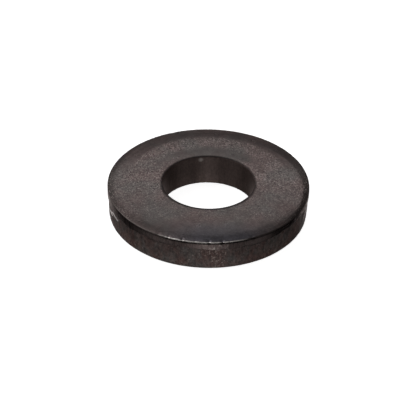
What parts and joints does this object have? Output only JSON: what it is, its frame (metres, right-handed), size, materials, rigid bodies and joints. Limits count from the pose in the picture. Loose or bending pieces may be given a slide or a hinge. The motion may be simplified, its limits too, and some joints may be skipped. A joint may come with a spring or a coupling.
{
  "type": "flat washer",
  "caption": "Thick flat washer punched from steel plate, with a rolled-over upper edge, a sheared outer wall and a plain clearance bore, black-oxide finish.",
  "frame": {"origin": "centre of the bore on the lower bearing face", "axes": "+Z along the bore axis, from the lower face towards the upper face with the die roll; the ring is round, so X and Y are any two directions across it"},
  "size_m": [0.019, 0.019, 0.0032],
  "materials": {
    "black_oxide_steel": "satin"
  },
  "bodies": {
    "root": {"washer": "black_oxide_steel"}
  },
  "joints": []
}
